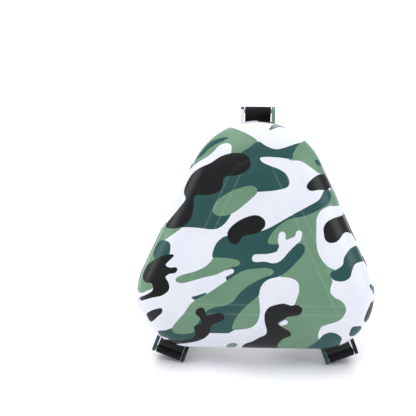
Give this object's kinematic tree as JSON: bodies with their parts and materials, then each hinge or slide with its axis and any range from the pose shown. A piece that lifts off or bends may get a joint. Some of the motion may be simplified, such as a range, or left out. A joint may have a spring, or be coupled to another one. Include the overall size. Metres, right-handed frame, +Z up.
{
  "type": "strap-on training bumper",
  "caption": "Rounded-triangle hard shell pad with a camouflage print, a padded liner behind it and a webbing harness with side-release buckles.",
  "frame": {"origin": "on the surface that the bumper stands on, under the middle of its box", "axes": "+X to the right of the printed face, -Y out of the printed face, +Z up; the pad leans back 18 degrees about X"},
  "size_m": [0.232, 0.1174, 0.2387],
  "materials": {
    "camouflage_print": "satin, four-colour printed film on a white moulding",
    "black_plastic": "fine moulded grain",
    "webbing": "ribbed polypropylene weave",
    "foam": "closed-cell foam",
    "lining": "knitted spacer mesh",
    "hook_and_loop": "hook and loop pile"
  },
  "bodies": {
    "pad": {"shell": "camouflage_print", "liner_foam": "foam", "liner_cover": "lining", "liner_piping": "lining", "yoke_ring": "black_plastic", "top_loop": "webbing", "hook_dot_top": "hook_and_loop", "hook_dot_left": "hook_and_loop", "hook_dot_right": "hook_and_loop", "loop_dot_top": "hook_and_loop", "loop_dot_left": "hook_and_loop", "loop_dot_right": "hook_and_loop", "bottom_loop_left": "webbing", "buckle_female_left": "black_plastic", "upper_strap_left": "webbing", "bottom_loop_right": "webbing", "buckle_female_right": "black_plastic", "upper_strap_right": "webbing"},
    "buckle_male_left": {"buckle_male_left": "black_plastic"},
    "buckle_arm_left_inner": {"buckle_arm_left_inner": "black_plastic"},
    "buckle_arm_left_outer": {"buckle_arm_left_outer": "black_plastic"},
    "tail_keeper_left": {"tail_keeper_left": "webbing"},
    "buckle_male_right": {"buckle_male_right": "black_plastic"},
    "buckle_arm_right_inner": {"buckle_arm_right_inner": "black_plastic"},
    "buckle_arm_right_outer": {"buckle_arm_right_outer": "black_plastic"},
    "tail_keeper_right": {"tail_keeper_right": "webbing"}
  },
  "joints": [
    {"name": "buckle_release_left", "type": "slide", "parent": "pad", "child": "buckle_male_left", "axis": [0.3284, -0.0376, 0.9438], "range_m": [0, 0.022], "deforming": ["upper_strap_left", "buckle_arm_left_inner", "buckle_arm_left_outer"]},
    {"name": "arm_squeeze_left_inner", "type": "hinge", "parent": "buckle_male_left", "child": "buckle_arm_left_inner", "pos_m": [-0.03716, 0.04647, 0.08362], "axis": [0.1138, 0.9935, 0], "range_deg": [0, 9], "stiffness_Nm_per_rad": 0.4},
    {"name": "arm_squeeze_left_outer", "type": "hinge", "parent": "buckle_male_left", "child": "buckle_arm_left_outer", "pos_m": [-0.05685, 0.04873, 0.09056], "axis": [-0.1138, -0.9935, 0], "range_deg": [0, 9], "stiffness_Nm_per_rad": 0.4},
    {"name": "keeper_slide_left", "type": "slide", "parent": "buckle_male_left", "child": "tail_keeper_left", "axis": [0.3122, -0.1578, 0.9368], "range_m": [-0.008, 0.008]},
    {"name": "buckle_release_right", "type": "slide", "parent": "pad", "child": "buckle_male_right", "axis": [-0.3284, -0.0376, 0.9438], "range_m": [0, 0.022], "deforming": ["upper_strap_right", "buckle_arm_right_inner", "buckle_arm_right_outer"]},
    {"name": "arm_squeeze_right_inner", "type": "hinge", "parent": "buckle_male_right", "child": "buckle_arm_right_inner", "pos_m": [0.03716, 0.04647, 0.08362], "axis": [0.1138, -0.9935, 0], "range_deg": [0, 9], "stiffness_Nm_per_rad": 0.4},
    {"name": "arm_squeeze_right_outer", "type": "hinge", "parent": "buckle_male_right", "child": "buckle_arm_right_outer", "pos_m": [0.05685, 0.04873, 0.09056], "axis": [-0.1138, 0.9935, 0], "range_deg": [0, 9], "stiffness_Nm_per_rad": 0.4},
    {"name": "keeper_slide_right", "type": "slide", "parent": "buckle_male_right", "child": "tail_keeper_right", "axis": [-0.3122, -0.1578, 0.9368], "range_m": [-0.008, 0.008]}
  ]
}
